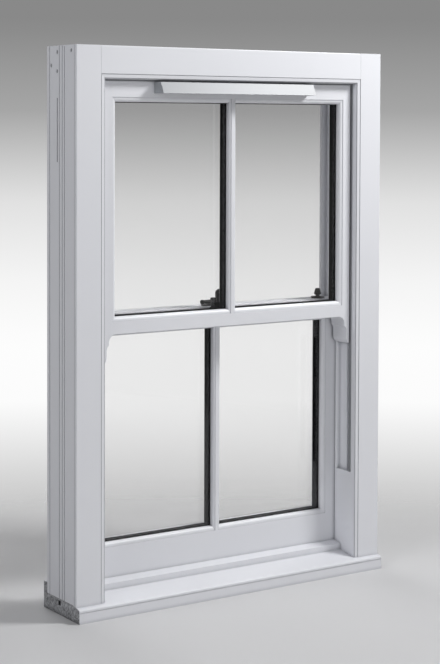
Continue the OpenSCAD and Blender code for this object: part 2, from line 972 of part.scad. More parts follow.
module upper_balance_rods() {
    balance_rods(upper_tube_y, upper_foot_z, upper_tube_foot + upper_travel + rod_engaged);
}

// outline of the canopy in (y, z), from the sash's face outwards
module canopy_outline(wall) {
    polygon([
        [upper_front, canopy_top - wall], [upper_front - canopy_top_out + wall, canopy_top - wall],
        [upper_front - canopy_out + wall, canopy_foot - (wall > 0 ? over : 0)],
        [upper_front, canopy_foot - (wall > 0 ? over : 0)]
    ]);
}

// plan of the canopy in (x, y): its ends slope in towards the front
module canopy_plan(wall) {
    half = canopy_l / 2 - wall;
    polygon([
        [-half, upper_front], [half, upper_front],
        [half - canopy_end_slope, upper_front - canopy_out],
        [canopy_end_slope - half, upper_front - canopy_out]
    ]);
}

module vent_canopy() {
    color(PAINT) difference() {
        intersection() {
            run_x(-canopy_l / 2, canopy_l / 2) canopy_outline(0);
            run_z(canopy_foot, canopy_top) canopy_plan(0);
        }
        intersection() {
            run_x(-canopy_l / 2, canopy_l / 2) canopy_outline(canopy_t);
            run_z(canopy_foot - over, canopy_top) canopy_plan(canopy_t);
        }
    }
}

// places of the slots, counted from the middle
module vent_slot_row(shift) {
    for (i = [0 : vent_slots - 1])
        translate([(i - (vent_slots - 1) / 2) * vent_pitch + shift, vent_mid_z])
            square([vent_slot_w, vent_way_h], center = true);
}

module vent_grille() {
    half_h = vent_plate_h / 2;
    fit = running_gap / 2;
    color(PAINT) {
        run_y(grille_y, grille_y + vent_plate_t) difference() {
            rect([fit - recess_half, vent_mid_z - half_h + fit],
                [recess_half - fit, vent_mid_z + half_h - fit]);
            vent_slot_row(0);
            // window for the thumb piece
            rect([thumb_x - running_gap, vent_mid_z - thumb_h / 2 - 0.5],
                [thumb_x + thumb_w + vent_travel + running_gap, vent_mid_z + thumb_h / 2 + 0.5]);
        }
        // edge flanges that stand on the floor of the recess
        for (z = [vent_mid_z - half_h + fit, vent_mid_z + half_h - fit - grille_flange_t])
            block([fit - recess_half, upper_back - recess_d, z],
                [recess_half - fit, grille_y, z + grille_flange_t]);
    }
}

module vent_slider() {
    half_h = vent_plate_h / 2 - grille_flange_t - running_gap;
    slider_end = recess_half - 1;
    color(PAINT) {
        run_y(slider_y, slider_y + vent_plate_t) difference() {
            rect([-slider_end, vent_mid_z - half_h], [slider_end - vent_travel, vent_mid_z + half_h]);
            vent_slot_row(-vent_travel);
        }
        run_y(slider_y + vent_plate_t, upper_back - running_gap / 2)
            rect([thumb_x, vent_mid_z - thumb_h / 2], [thumb_x + thumb_w, vent_mid_z + thumb_h / 2]);
    }
}

// keep beside the foot of the bar: a plate on the meeting rail with a hooked lug
module fastener_keep() {
    out_x = -bar_sight_x - running_gap;
    foot_y = upper_front + bead_front + 0.5;
    foot_h = 2.5;
    lug_h = 3;
    lug_reach = 6;
    color(BRONZE) run_x(out_x - keep_l, out_x) {
        rect([foot_y, meeting_top], [foot_y + keep_t, meeting_top + foot_h]);
        rect([foot_y, meeting_top], [foot_y + foot_h, meeting_top + keep_h]);
        rect([foot_y, meeting_top + keep_h - lug_h], [foot_y + lug_reach, meeting_top + keep_h]);
    }
}

// ---------------------------------------------------------------- lower sash

module at_lower() {
    translate([0, lower_front, 0]) children();
}

// bores for the stems of the acorn stops
module stem_bores() {
    for (x = [-acorn_x, acorn_x])
        rod_z(x, pivot_y, rail_top - stem_l - 2, rail_top + over, rose_bore_d);
}

module lower_stile() {
    difference() {
        at_lower() stile(LOWER);
        stem_bores();
    }
}

module lower_stile_left() {
    color(PAINT) left() lower_stile();
}

module lower_stile_right() {
    color(PAINT) lower_stile();
}

module lower_bottom_rail() {
    color(PAINT) at_lower() rail_under(LOWER);
}

module lower_meeting_rail() {
    color(PAINT) difference() {
        union() {
            at_lower() rail_over(LOWER);
            block([-quirk_x, lower_front - meeting_lip, rail_top - meeting_lip_h],
                [quirk_x, lower_front, rail_top]);
        }
        stem_bores();
    }
}

module lower_bar() {
    color(PAINT) at_lower() bar(LOWER);
}

module lower_glass_left() {
    left() at_lower() glass(LOWER);
}

module lower_glass_right() {
    at_lower() glass(LOWER);
}

module lower_spacer_left() {
    left() at_lower() spacer(LOWER);
}

module lower_spacer_right() {
    at_lower() spacer(LOWER);
}

module lower_gaskets() {
    at_lower() gaskets(LOWER);
}

module lower_beads() {
    at_lower() beads(LOWER);
}

module lower_balance_rods() {
    balance_rods(lower_tube_y, lower_foot_z, lower_tube_foot + rod_engaged);
}

// pile strip on the lower meeting rail's lip
module meeting_seal() {
    seal_h = 5;
    seal_z = rail_top - (meeting_lip_h + seal_h) / 2;
    color(PILE) block([-quirk_x, upper_back + running_gap, seal_z],
        [quirk_x, lower_front - meeting_lip, seal_z + seal_h]);
}

// hook lifts on the inner face of the bottom rail
module sash_lifts() {
    mid_z = lower_bottom + bottom_rail_h / 2 - 4;
    foot_z = mid_z - lift_h / 2;
    hook_h = 17;
    color(BRONZE) for (x = [-lift_x, lift_x]) run_x(x - lift_w / 2, x + lift_w / 2) {
        rect([lower_back, foot_z], [lower_back + lift_t, foot_z + lift_h]);
        rect([lower_back, foot_z], [lower_back + lift_out - lift_t, foot_z + lift_t]);
        rect([lower_back + lift_out - lift_t, foot_z + lift_t], [lower_back + lift_out, foot_z + hook_h]);
        translate([lower_back + lift_out - lift_t / 2, foot_z + hook_h]) circle(d = lift_t);
        intersection() {
            translate([lower_back + lift_out - lift_t, foot_z + lift_t]) circle(lift_t);
            rect([lower_back + lift_out - lift_t, foot_z], [lower_back + lift_out, foot_z + lift_t]);
        }
    }
}

// base plate with round ends, a boss and the pivot pin
module fastener_base() {
    plate_w = 22;
    color(BRONZE) {
        run_z(rail_top, rail_top + base_t) {
            square_l = base_l - plate_w;
            translate([pivot_x, pivot_y]) square([square_l, plate_w], center = true);
            for (end = [-1, 1]) translate([pivot_x + end * square_l / 2, pivot_y]) circle(d = plate_w);
        }
        rod_z(pivot_x, pivot_y, rail_top, hub_bottom + hub_h - 2, pivot_d);
    }
}

// turning lever: hub with a domed cap, a lever with a round end, the scroll and the tongue
module fastener_lever() {
    hub_top = hub_bottom + hub_h;
    lever_mid = hub_bottom + 6;
    scroll_x = (hub_d + scroll_d) / 2 - scroll_bite;
    scroll_z = hub_bottom + scroll_lift + scroll_d / 2;
    scroll_t = 12;
    neck_t = scroll_t - 4;
    lever_end_r = 6;
    groove_rings = [0.38, 0.68];
    color(BRONZE) translate([pivot_x, pivot_y, 0]) difference() {
        union() {
            rod_z(0, 0, hub_bottom, hub_top, hub_d);
            translate([0, 0, hub_top]) intersection() {
                sphere(hub_d / 2);
                rod_z(0, 0, -over, 4.5, hub_d);
            }
            // lever
            translate([0, 0, lever_mid]) rotate([0, -90, 0])
                cylinder(d1 = 11, d2 = lever_h, h = lever_l - lever_end_r);
            translate([lever_end_r - lever_l, 0, lever_mid]) sphere(lever_end_r);
            // scroll: an upright wheel with rings around a button on both faces, on a neck
            block([0, -neck_t / 2, hub_bottom], [scroll_x + scroll_d / 4, neck_t / 2, hub_top]);
            block([scroll_x - scroll_d / 2, -neck_t / 2, hub_bottom + lever_h],
                [scroll_x + scroll_d / 4, neck_t / 2, scroll_z]);
            translate([scroll_x, 0, scroll_z]) rotate([90, 0, 0]) rotate_extrude() difference() {
                rect([0, -scroll_t / 2], [scroll_d / 2, scroll_t / 2]);
                for (v = [-scroll_t / 2, scroll_t / 2]) {
                    for (ring = groove_rings) translate([ring * scroll_d / 2, v]) circle(1.3);
                    translate([scroll_d / 2, v]) rotate(45) square(2, center = true);
                }
            }
            // tongue
            block([-tongue_w / 2, 0, hub_bottom], [tongue_w / 2, tongue_l, hub_bottom + tongue_h]);
        }
        rod_z(0, 0, hub_bottom - over, hub_top - 1.5, pivot_d + 2 * pin_gap);
    }
}

module acorn_roses() {
    color(BRONZE) for (x = [-acorn_x, acorn_x]) translate([x, pivot_y, rail_top])
        rotate_extrude() difference() {
            rect([rose_bore_d / 2, 0], [rose_d / 2, max(rose_t, rose_rim_h)]);
            // dish between the rim and the middle
            polygon([
                [rose_d / 2 + over, rose_rim_h], [rose_d / 2 - rose_rim_w, rose_rim_h],
                [rose_d / 2 - 2 * rose_rim_w, rose_floor_t], [rose_boss_d / 2 + 1, rose_floor_t],
                [rose_boss_d / 2, rose_t + over], [rose_d / 2 + over, rose_t + over]
            ]);
            // undercut of the turned-up rim
            polygon([
                [rose_d / 2 + over, -over], [rose_d / 2 - 1, -over], [rose_d / 2 - 1, 1],
                [rose_d / 2, rose_rim_h - 1], [rose_d / 2 + over, rose_rim_h - 1]
            ]);
        }
}

// an acorn on a screwed stem
module acorn(x) {
    foot = rail_top + rose_t + running_gap / 2;
    color(BRONZE) translate([x, pivot_y, 0]) {
        rod_z(0, 0, rail_top - stem_l, foot + acorn_h / 2, stem_d);
        translate([0, 0, foot]) rotate_extrude() polygon(concat(
            [[0, 0]], [for (p = acorn_profile) [p[0] * acorn_d / 2, p[1] * acorn_h]], [[0, acorn_h]]
        ));
    }
}

module acorn_left() {
    acorn(-acorn_x);
}

module acorn_right() {
    acorn(acorn_x);
}

sill();
outer_lining_left();
outer_lining_right();
outer_lining_head();
jamb_left();
jamb_right();
head();
box_back_left();
box_back_right();
inner_lining_left();
inner_lining_right();
inner_lining_head();
parting_bead_left();
parting_bead_right();
parting_bead_head();
staff_bead_left();
staff_bead_right();
staff_bead_head();
travel_stop_left();
travel_stop_right();
frame_seals();
upper_balance_tubes();
lower_balance_tubes();
frame_screws();
upper_top_rail();
upper_meeting_rail();
upper_stile_left();
upper_stile_right();
upper_bar();
upper_glass_left();
upper_glass_right();
upper_spacer_left();
upper_spacer_right();
upper_gaskets();
upper_beads();
upper_balance_rods();
vent_canopy();
vent_grille();
vent_slider();
fastener_keep();
lower_meeting_rail();
lower_bottom_rail();
lower_stile_left();
lower_stile_right();
lower_bar();
lower_glass_left();
lower_glass_right();
lower_spacer_left();
lower_spacer_right();
lower_gaskets();
lower_beads();
lower_balance_rods();
meeting_seal();
sash_lifts();
fastener_base();
fastener_lever();
acorn_roses();
acorn_left();
acorn_right();
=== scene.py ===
"""A white painted box sash window: its finishes, small fittings, floor, studio light and camera."""

import json
import math

import bpy
import numpy as np
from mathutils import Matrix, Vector


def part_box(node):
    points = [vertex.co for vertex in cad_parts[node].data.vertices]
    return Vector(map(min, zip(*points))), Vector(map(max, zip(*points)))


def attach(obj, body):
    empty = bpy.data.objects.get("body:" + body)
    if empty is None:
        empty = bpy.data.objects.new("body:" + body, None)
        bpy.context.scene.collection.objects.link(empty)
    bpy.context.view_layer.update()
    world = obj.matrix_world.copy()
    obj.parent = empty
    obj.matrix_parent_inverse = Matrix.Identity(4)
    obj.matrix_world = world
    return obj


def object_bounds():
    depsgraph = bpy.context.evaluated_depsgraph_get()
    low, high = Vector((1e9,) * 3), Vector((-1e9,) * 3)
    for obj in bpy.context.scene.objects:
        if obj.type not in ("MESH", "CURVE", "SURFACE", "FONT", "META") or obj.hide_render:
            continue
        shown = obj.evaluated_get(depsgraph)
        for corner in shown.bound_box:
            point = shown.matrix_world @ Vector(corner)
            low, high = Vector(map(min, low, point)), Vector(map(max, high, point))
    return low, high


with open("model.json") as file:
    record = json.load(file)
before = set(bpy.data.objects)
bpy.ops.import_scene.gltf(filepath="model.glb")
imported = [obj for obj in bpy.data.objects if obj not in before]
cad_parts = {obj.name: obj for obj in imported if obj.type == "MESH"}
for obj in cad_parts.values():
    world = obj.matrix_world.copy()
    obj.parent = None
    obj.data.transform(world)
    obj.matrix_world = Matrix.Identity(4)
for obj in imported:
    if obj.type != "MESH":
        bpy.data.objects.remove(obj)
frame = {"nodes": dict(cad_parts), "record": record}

cad_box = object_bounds()
nodes = frame["nodes"]
scene = bpy.context.scene

MM = 0.001

# Places taken from the frame, in metres
half_w = cad_box[1].x
top = cad_box[1].z

# White paint: its two clouded tones, the grey of the painted shade in corners, and how far that shade
# reaches
PAINT_TONES = ("#ecedf1", "#e6e7ec")
PAINTED_SHADE_TONE = "#b2b3b9"
PAINTED_SHADE_REACH = 14 * MM
EDGE_R = 0.8 * MM

# The sill's sawn ends: where they start, and the mortise in each
SAWN_END_X = half_w - 0.2 * MM
MORTISE_MIDDLE = (half_w - 7.5 * MM, 82 * MM, 28 * MM)
MORTISE_REACH = 12.5 * MM

# The fastener's scroll, and the spiral bead on its faces: the bead's distance from the centre and its own
# radius, each at the inner and at the outer end, and its turns
SCROLL_R = 12 * MM
SCROLL_T = 12 * MM
SPIRAL_R = (2.0 * MM, 10.6 * MM)
SPIRAL_BEAD_R = (0.7 * MM, 1.4 * MM)
SPIRAL_TURNS = 2.25

# The bead round an acorn's cup: its radius, and its place as shares of the cup's radius and height
CUP_BEAD_R = 0.9 * MM
CUP_BEAD_OUT = 0.97
CUP_BEAD_UP = 0.38

# Floor, surround and camera. The backdrop stands behind the window, along the camera's way of looking
FLOOR_TONES = ("#d3d3d4", "#d8d8d9")
FLOOR_FADE = (2.0, 2.9)
FLOOR_MIDDLE = (-0.84, -1.24, 0.0)
BACKDROP_WAY = (0.557, 0.83, 0.0)
# brightness of the surround by the sine of its height: palest low down, where the backdrop meets the floor
BACKDROP = [(-1.0, 0.55), (-0.255, 0.57), (-0.21, 0.65), (-0.165, 0.97), (-0.13, 0.98), (-0.094, 0.91),
            (-0.046, 0.75), (-0.01, 0.50), (0.008, 0.38), (0.06, 0.25)]
# the share of that brightness which is left in front of the window, and the cosines from BACKDROP_WAY
# between which it grows to the whole
FRONT_SHARE = 0.2
FRONT_TO_BACK = (-0.2, 0.6)
# the sines of height between which the pale floor straight below gives way to that share
BELOW_TO_FRONT = (-0.5, -0.28)
LENS = 90.2
LENS_SHIFT = -0.2254
CAMERA_PLACE = (-2.307, -3.363, 1.160)
CAMERA_TURN = (88.0, -0.179, -33.84)


# ---------------------------------------------------------------- small helpers


def srgb(code):
    """The linear colour of an sRGB hex value, with full alpha."""
    c = np.array([int(code[i : i + 2], 16) for i in (1, 3, 5)]) / 255
    return (*np.where(c <= 0.04045, c / 12.92, ((c + 0.055) / 1.055) ** 2.4), 1.0)


def add(tree, kind, inputs, **settings):
    """Adds a node. settings are its own properties. inputs gives each socket a value or the socket that
    links into it. Sockets that share a name go by number: on a Mix node 0 is the share, colours 6 and 7
    come out at 2, and vectors 4 and 5 come out at 1."""
    node = tree.nodes.new("ShaderNode" + kind)
    for name, value in settings.items():
        setattr(node, name, value)
    for key, value in inputs.items():
        if isinstance(value, bpy.types.NodeSocket):
            tree.links.new(value, node.inputs[key])
        else:
            node.inputs[key].default_value = value
    return node


def new_material(name):
    """An empty node material and its tree."""
    made = bpy.data.materials.new(name)
    made.use_nodes = True
    made.node_tree.nodes.clear()
    return made, made.node_tree


# ---------------------------------------------------------------- materials


def bare_sawn_ends(tree, place, unshaded_share, paint, paint_rough, paint_normal):
    """Rough sawn end grain without paint on both ends of the sill and inside the mortise in each, and the
    paint that is passed in everywhere else. The pores are drawn about 5 mm across, coarser than real ones,
    so that they show. Gives the colour, roughness and normal."""
    mirrored = add(tree, "VectorMath", {0: place}, operation="ABSOLUTE").outputs["Vector"]
    side = add(tree, "SeparateXYZ", {"Vector": mirrored}).outputs["X"]
    beyond = add(tree, "Math", {0: side, 1: SAWN_END_X}, operation="GREATER_THAN").outputs[0]
    away = add(tree, "VectorMath", {0: mirrored, 1: MORTISE_MIDDLE}, operation="DISTANCE").outputs["Value"]
    inside = add(tree, "Math", {0: away, 1: MORTISE_REACH}, operation="LESS_THAN").outputs[0]
    bare = add(tree, "Math", {0: beyond, 1: inside}, operation="MAXIMUM").outputs[0]
    grain = add(tree, "TexNoise", {"Vector": place, "Scale": 190.0, "Detail": 6.0, "Roughness": 0.8})
    timber = add(tree, "ValToRGB", {"Fac": grain.outputs["Fac"]})
    for stop, at, code in zip(timber.color_ramp.elements, (0.37, 0.64), ("#58595b", "#d6d7da")):
        stop.position, stop.color = at, srgb(code)
    # Painted shade: the bare timber darkens to near black in the mortise and other hollows
    shaded = add(tree, "Mix", {0: unshaded_share, 6: srgb("#161617"), 7: timber.outputs["Color"]},
                 data_type="RGBA")
    colour = add(tree, "Mix", {0: bare, 6: paint, 7: shaded.outputs[2]}, data_type="RGBA")
    sawn = add(tree, "Bump", {"Strength": 0.8, "Distance": 1.5 * MM, "Height": grain.outputs["Fac"],
                              "Normal": paint_normal})
    normal = add(tree, "Mix", {0: bare, 4: paint_normal, 5: sawn.outputs["Normal"]}, data_type="VECTOR")
    rough = add(tree, "MapRange", {"Value": bare, "To Min": paint_rough, "To Max": 0.9})
    return colour.outputs[2], rough.outputs["Result"], normal.outputs[1]


def satin_paint(name, sawn_ends=False):
    """Factory-sprayed satin water-based paint on timber: even, slightly soft sheen, a faint orange peel
    about 2 mm across and edges rounded by sanding and the paint's own thickness. Corners and quirks carry
    a painted shade, greyer the closer other faces stand."""
    made, tree = new_material(name)
    place = add(tree, "TexCoord", {}).outputs["Object"]
    cloud = add(tree, "TexNoise", {"Vector": place, "Scale": 2.2, "Detail": 3.0, "Roughness": 0.55})
    colour = add(tree, "Mix", {0: cloud.outputs["Fac"], 6: srgb(PAINT_TONES[0]), 7: srgb(PAINT_TONES[1])},
                 data_type="RGBA")
    # Painted shade: the paint is greyed in corners and quirks, where nearby faces close in
    near = add(tree, "AmbientOcclusion", {"Distance": PAINTED_SHADE_REACH}, samples=8)
    unshaded_share = add(tree, "MapRange", {
        "Value": near.outputs["AO"], "From Min": 0.25, "From Max": 0.85}).outputs["Result"]
    colour = add(tree, "Mix", {0: unshaded_share, 6: srgb(PAINTED_SHADE_TONE), 7: colour.outputs[2]}, data_type="RGBA")
    peel = add(tree, "TexNoise", {"Vector": place, "Scale": 420.0, "Detail": 2.0, "Roughness": 0.5})
    edge = add(tree, "Bevel", {"Radius": EDGE_R}, samples=4)
    bump = add(tree, "Bump", {"Strength": 0.05, "Distance": 0.2 * MM, "Height": peel.outputs["Fac"],
                              "Normal": edge.outputs["Normal"]})
    shade_of, rough, normal = colour.outputs[2], 0.38, bump.outputs["Normal"]
    if sawn_ends:
        shade_of, rough, normal = bare_sawn_ends(tree, place, unshaded_share, shade_of, rough, normal)
    shader = add(tree, "BsdfPrincipled", {
        "Base Color": shade_of, "Roughness": rough, "IOR": 1.5, "Normal": normal})
    add(tree, "OutputMaterial", {"Surface": shader.outputs["BSDF"]})
    return made


def clear_glass():
    """Clear float glass, 4 mm thick: smooth and colourless, and lamps shine straight through it."""
    made, tree = new_material("clear_float_glass")
    glass = add(tree, "BsdfPrincipled", {
        "Base Color": srgb("#fcfcfc"), "Roughness": 0.0, "IOR": 1.5, "Transmission Weight": 1.0})
    clear = add(tree, "BsdfTransparent", {"Color": srgb("#f6f6f6")})
    ray = add(tree, "LightPath", {})
    both = add(tree, "MixShader", {0: ray.outputs["Is Shadow Ray"], 1: glass.outputs["BSDF"],
                                   2: clear.outputs["BSDF"]})
    add(tree, "OutputMaterial", {"Surface": both.outputs["Shader"]})
    return made


def warm_edge_spacer():
    """Black thermoplastic spacer bar between the panes: matt, with a faint grain about 2 mm across."""
    made, tree = new_material("black_spacer_bar")
    place = add(tree, "TexCoord", {}).outputs["Object"]
    grain = add(tree, "TexNoise", {"Vector": place, "Scale": 600.0, "Detail": 2.0})
    tone = add(tree, "Mix", {0: grain.outputs["Fac"], 6: srgb("#030303"), 7: srgb("#08080a")},
               data_type="RGBA")
    bump = add(tree, "Bump", {"Strength": 0.2, "Distance": 0.2 * MM, "Height": grain.outputs["Fac"]})
    shader = add(tree, "BsdfPrincipled", {
        "Base Color": tone.outputs[2], "Roughness": 0.8, "Specular IOR Level": 0.1,
        "Normal": bump.outputs["Normal"]})
    add(tree, "OutputMaterial", {"Surface": shader.outputs["BSDF"]})
    return made


def seal_rubber():
    """Extruded EPDM glazing seal: black, dull, with a slight bloom."""
    made, tree = new_material("black_epdm_rubber")
    place = add(tree, "TexCoord", {}).outputs["Object"]
    bloom = add(tree, "TexNoise", {"Vector": place, "Scale": 90.0, "Detail": 4.0})
    tone = add(tree, "Mix", {0: bloom.outputs["Fac"], 6: srgb("#0a0a0b"), 7: srgb("#161618")},
               data_type="RGBA")
    bump = add(tree, "Bump", {"Strength": 0.15, "Distance": 0.1 * MM, "Height": bloom.outputs["Fac"]})
    shader = add(tree, "BsdfPrincipled", {
        "Base Color": tone.outputs[2], "Roughness": 0.6, "Normal": bump.outputs["Normal"]})
    add(tree, "OutputMaterial", {"Surface": shader.outputs["BSDF"]})
    return made


def brush_pile():
    """Woven grey polypropylene pile: short upright fibres about 0.4 mm apart, matt with a soft edge."""
    made, tree = new_material("grey_brush_pile")
    place = add(tree, "TexCoord", {}).outputs["Object"]
    along = add(tree, "Mapping", {"Vector": place, "Scale": (2500.0, 60.0, 2500.0)})
    fibre = add(tree, "TexNoise", {"Vector": along.outputs["Vector"], "Scale": 1.0, "Detail": 3.0})
    tone = add(tree, "Mix", {0: fibre.outputs["Fac"], 6: srgb("#5c5e62"), 7: srgb("#a6a8ac")},
               data_type="RGBA")
    bump = add(tree, "Bump", {"Strength": 0.9, "Distance": 0.5 * MM, "Height": fibre.outputs["Fac"]})
    shader = add(tree, "BsdfPrincipled", {
        "Base Color": tone.outputs[2], "Roughness": 0.95, "Sheen Weight": 0.3,
        "Normal": bump.outputs["Normal"]})
    add(tree, "OutputMaterial", {"Surface": shader.outputs["BSDF"]})
    return made


def dark_bronze():
    """Cast brass with an oil-rubbed dark bronze patina under a thin wax: nearly black, with glossier patches
    a few millimetres across."""
    made, tree = new_material("oil_rubbed_bronze")
    place = add(tree, "TexCoord", {}).outputs["Object"]
    patina = add(tree, "TexNoise", {"Vector": place, "Scale": 160.0, "Detail": 5.0, "Roughness": 0.6})
    level = add(tree, "ValToRGB", {"Fac": patina.outputs["Fac"]})
    for stop, at, code in zip(level.color_ramp.elements, (0.35, 0.7), ("#060505", "#1d1b19")):
        stop.position, stop.color = at, srgb(code)
    edge = add(tree, "Bevel", {"Radius": 0.5 * MM}, samples=4)
    bump = add(tree, "Bump", {"Strength": 0.25, "Distance": 0.3 * MM, "Height": patina.outputs["Fac"],
                              "Normal": edge.outputs["Normal"]})
    gloss = add(tree, "MapRange", {"Value": patina.outputs["Fac"], "From Min": 0.3, "From Max": 0.7,
                                   "To Min": 0.45, "To Max": 0.28})
    shader = add(tree, "BsdfPrincipled", {
        "Base Color": level.outputs["Color"], "Metallic": 0.7, "Roughness": gloss.outputs["Result"],
        "Coat Weight": 0.5, "Coat Roughness": 0.12, "Normal": bump.outputs["Normal"]})
    add(tree, "OutputMaterial", {"Surface": shader.outputs["BSDF"]})
    return made


def powder_coat():
    """Polyester powder coat on aluminium, a cooler and greyer white than the paint: satin, with a fine even
    texture about 1 mm across."""
    made, tree = new_material("white_powder_coat")
    place = add(tree, "TexCoord", {}).outputs["Object"]
    grit = add(tree, "TexNoise", {"Vector": place, "Scale": 900.0, "Detail": 2.0})
    tone = add(tree, "Mix", {0: grit.outputs["Fac"], 6: srgb("#94979b"), 7: srgb("#9c9fa3")},
               data_type="RGBA")
    edge = add(tree, "Bevel", {"Radius": EDGE_R}, samples=4)
    bump = add(tree, "Bump", {"Strength": 0.12, "Distance": 0.1 * MM, "Height": grit.outputs["Fac"],
                              "Normal": edge.outputs["Normal"]})
    shader = add(tree, "BsdfPrincipled", {
        "Base Color": tone.outputs[2], "Roughness": 0.42, "Normal": bump.outputs["Normal"]})
    add(tree, "OutputMaterial", {"Surface": shader.outputs["BSDF"]})
    return made


def moulded_plastic():
    """White moulded ABS: smooth, a little glossier than the paint."""
    made, tree = new_material("white_moulded_abs")
    place = add(tree, "TexCoord", {}).outputs["Object"]
    cloud = add(tree, "TexNoise", {"Vector": place, "Scale": 40.0, "Detail": 2.0})
    tone = add(tree, "Mix", {0: cloud.outputs["Fac"], 6: srgb("#e6e7e8"), 7: srgb("#f0f0f0")},
               data_type="RGBA")
    edge = add(tree, "Bevel", {"Radius": 0.4 * MM}, samples=4)
    shader = add(tree, "BsdfPrincipled", {
        "Base Color": tone.outputs[2], "Roughness": 0.32, "Normal": edge.outputs["Normal"]})
    add(tree, "OutputMaterial", {"Surface": shader.outputs["BSDF"]})
    return made


def zinc_steel():
    """Bright zinc-plated steel for the rods and screws: soft shine, mottled about 3 mm across."""
    made, tree = new_material("zinc_plated_steel")
    place = add(tree, "TexCoord", {}).outputs["Object"]
    spangle = add(tree, "TexNoise", {"Vector": place, "Scale": 300.0, "Detail": 3.0})
    tone = add(tree, "Mix", {0: spangle.outputs["Fac"], 6: srgb("#8d9094"), 7: srgb("#c3c5c8")},
               data_type="RGBA")
    shader = add(tree, "BsdfPrincipled", {
        "Base Color": tone.outputs[2], "Metallic": 1.0, "Roughness": 0.35})
    add(tree, "OutputMaterial", {"Surface": shader.outputs["BSDF"]})
    return made


def floor_finish():
    """Pale matt studio floor. It fades out between two distances from its middle, which is in front of the
    window."""
    made, tree = new_material("pale_studio_floor")
    place = add(tree, "TexCoord", {}).outputs["Object"]
    cloud = add(tree, "TexNoise", {"Vector": place, "Scale": 1.5, "Detail": 3.0})
    tone = add(tree, "Mix", {0: cloud.outputs["Fac"], 6: srgb(FLOOR_TONES[0]), 7: srgb(FLOOR_TONES[1])},
               data_type="RGBA")
    shader = add(tree, "BsdfPrincipled", {"Base Color": tone.outputs[2], "Roughness": 0.85})
    away = add(tree, "VectorMath", {0: place, 1: FLOOR_MIDDLE}, operation="DISTANCE").outputs["Value"]
    fade = add(tree, "MapRange", {"Value": away, "From Min": FLOOR_FADE[0], "From Max": FLOOR_FADE[1]},
               interpolation_type="SMOOTHSTEP")
    clear = add(tree, "BsdfTransparent", {})
    both = add(tree, "MixShader", {0: fade.outputs["Result"], 1: shader.outputs["BSDF"],
                                   2: clear.outputs["BSDF"]})
    add(tree, "OutputMaterial", {"Surface": both.outputs["Shader"]})
    return made


FINISHES = {
    "painted_timber": satin_paint("satin_white_paint"),
    "glass": clear_glass(),
    "spacer": warm_edge_spacer(),
    "black_gasket": seal_rubber(),
    "pile_seal": brush_pile(),
    "bronze": dark_bronze(),
    "white_metal": powder_coat(),
    "white_plastic": moulded_plastic(),
    "screw_steel": zinc_steel(),
}
for part in frame["record"]["subparts"]:
    node = nodes[part["node"]]
    node.data.materials.clear()
    node.data.materials.append(FINISHES[part["material_slot"]])
nodes["sill"].data.materials[0] = satin_paint("painted_sill_with_bare_ends", sawn_ends=True)

# ---------------------------------------------------------------- small cast details


def new_piece(name, corners, faces, finish, smooth=True):
    """A mesh object at the origin from an array of corners and a list of faces."""
    mesh = bpy.data.meshes.new(name)
    mesh.from_pydata(corners.reshape(-1, 3).tolist(), [], faces)
    mesh.polygons.foreach_set("use_smooth", [smooth] * len(mesh.polygons))
    mesh.materials.append(finish)
    made = bpy.data.objects.new(name, mesh)
    scene.collection.objects.link(made)
    return made


def tube(name, path, radius, around, finish):
    """A round bead along an open or closed path c(s): p(s, t) = c(s) + radius(s) (cos t n(s) + sin t b),
    with b square to the plane of the path and n = b x c'(s). radius is one number or one for each point."""
    step = np.gradient(path, axis=0)
    step /= np.linalg.norm(step, axis=1)[:, None]
    b = np.cross(step[0], step[len(step) // 8])    # two directions along the path span its plane
    b /= np.linalg.norm(b)
    n = np.cross(b, step)
    t = np.arange(around) * 2 * math.pi / around
    width = np.broadcast_to(radius, len(path))[:, None, None]
    grid = path[:, None] + width * (np.cos(t)[None, :, None] * n[:, None] + np.sin(t)[None, :, None] * b)
    rows = len(path)
    faces = [(i * around + j, (i + 1) * around + j, (i + 1) * around + (j + 1) % around,
              i * around + (j + 1) % around) for i in range(rows - 1) for j in range(around)]
    faces += [tuple(range(around)), tuple(range(rows * around - 1, (rows - 1) * around - 1, -1))]
    return new_piece(name, grid, faces, finish)


def scroll_spiral(name, centre, face_y):
    """A spiral bead on one face of the fastener's scroll: r(a) = inner + (outer - inner) a / a_end around
    the scroll's centre, thinner towards the middle."""
    a = np.linspace(0, SPIRAL_TURNS * 2 * math.pi, 160)
    share = a / a[-1]
    r = np.interp(share, (0, 1), SPIRAL_R)
    path = np.stack([centre[0] - r * np.cos(a), np.full_like(a, face_y), centre[2] + r * np.sin(a)], -1)
    return tube(name, path, np.interp(share, (0, 1), SPIRAL_BEAD_R), 12, FINISHES["bronze"])


lever_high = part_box("fastener_lever")[1]
base_low, base_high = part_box("fastener_base")
scroll_centre = (lever_high[0] - SCROLL_R, 0.5 * (base_low[1] + base_high[1]), lever_high[2] - SCROLL_R)
for end, name in ((-1, "scroll_spiral_front"), (1, "scroll_spiral_back")):
    spiral = scroll_spiral(name, scroll_centre, scroll_centre[1] + end * 0.5 * SCROLL_T)
    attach(spiral, "fastener_lever")


def acorn_bead(name, node):
    """The turned bead round an acorn's cup: the level circle c(a) = middle + r (cos a, sin a, 0)."""
    low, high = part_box(node)
    rose_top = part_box("acorn_roses")[1][2]
    r = CUP_BEAD_OUT * 0.5 * (high[0] - low[0])
    a = np.linspace(0, 2 * math.pi, 49)
    path = np.stack([0.5 * (low[0] + high[0]) + r * np.cos(a),
                     0.5 * (low[1] + high[1]) + r * np.sin(a),
                     np.full_like(a, rose_top + CUP_BEAD_UP * (high[2] - rose_top))], -1)
    return tube(name, path, CUP_BEAD_R, 10, FINISHES["bronze"])


for side in ("left", "right"):
    bead = acorn_bead("acorn_bead_" + side, "acorn_" + side)
    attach(bead, "acorn_" + side)

# ---------------------------------------------------------------- floor, light and camera


